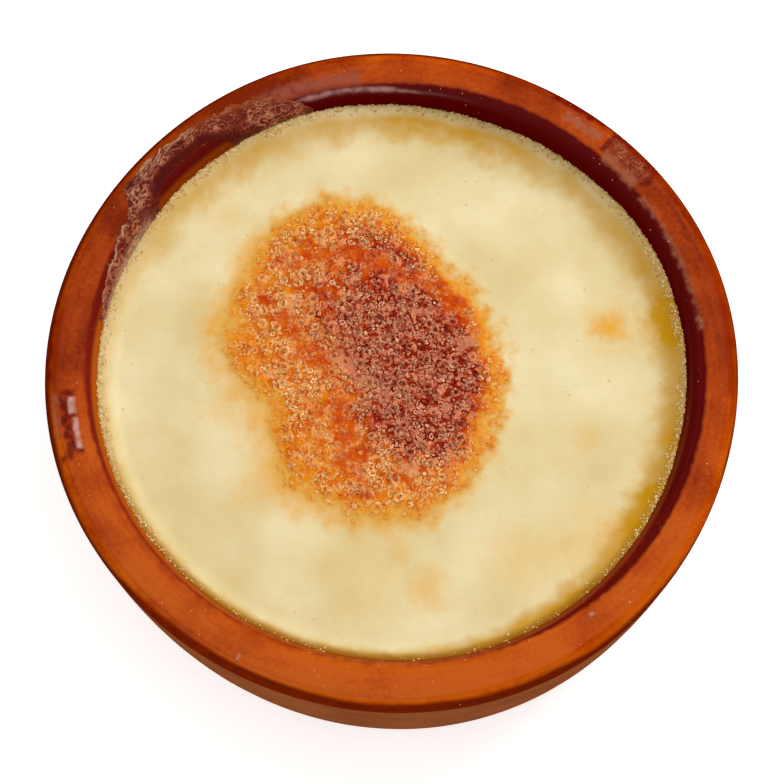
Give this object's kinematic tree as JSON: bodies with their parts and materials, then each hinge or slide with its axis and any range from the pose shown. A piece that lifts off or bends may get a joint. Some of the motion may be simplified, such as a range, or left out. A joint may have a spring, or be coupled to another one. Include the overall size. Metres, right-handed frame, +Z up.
{
  "type": "baked rice pudding in a clay bowl",
  "caption": "Baked rice pudding with a scorched top, filling a round glazed clay bowl to just under its thick flat rim.",
  "frame": {"origin": "middle of the flat underside of the bowl", "axes": "+Z up along the axis the bowl was turned on; -Y is the side the eater sits at, +X to the right"},
  "size_m": [0.112, 0.1122, 0.0407],
  "materials": {
    "glazed_clay": "clear-glazed red clay, glossy",
    "baked_milk": "moist baked milk skin, scorched brown in the middle",
    "dried_milk": "thin dried milk film, wrinkled"
  },
  "bodies": {
    "root": {"bowl": "glazed_clay", "pudding": "baked_milk", "milk_skin": "dried_milk"}
  },
  "joints": []
}
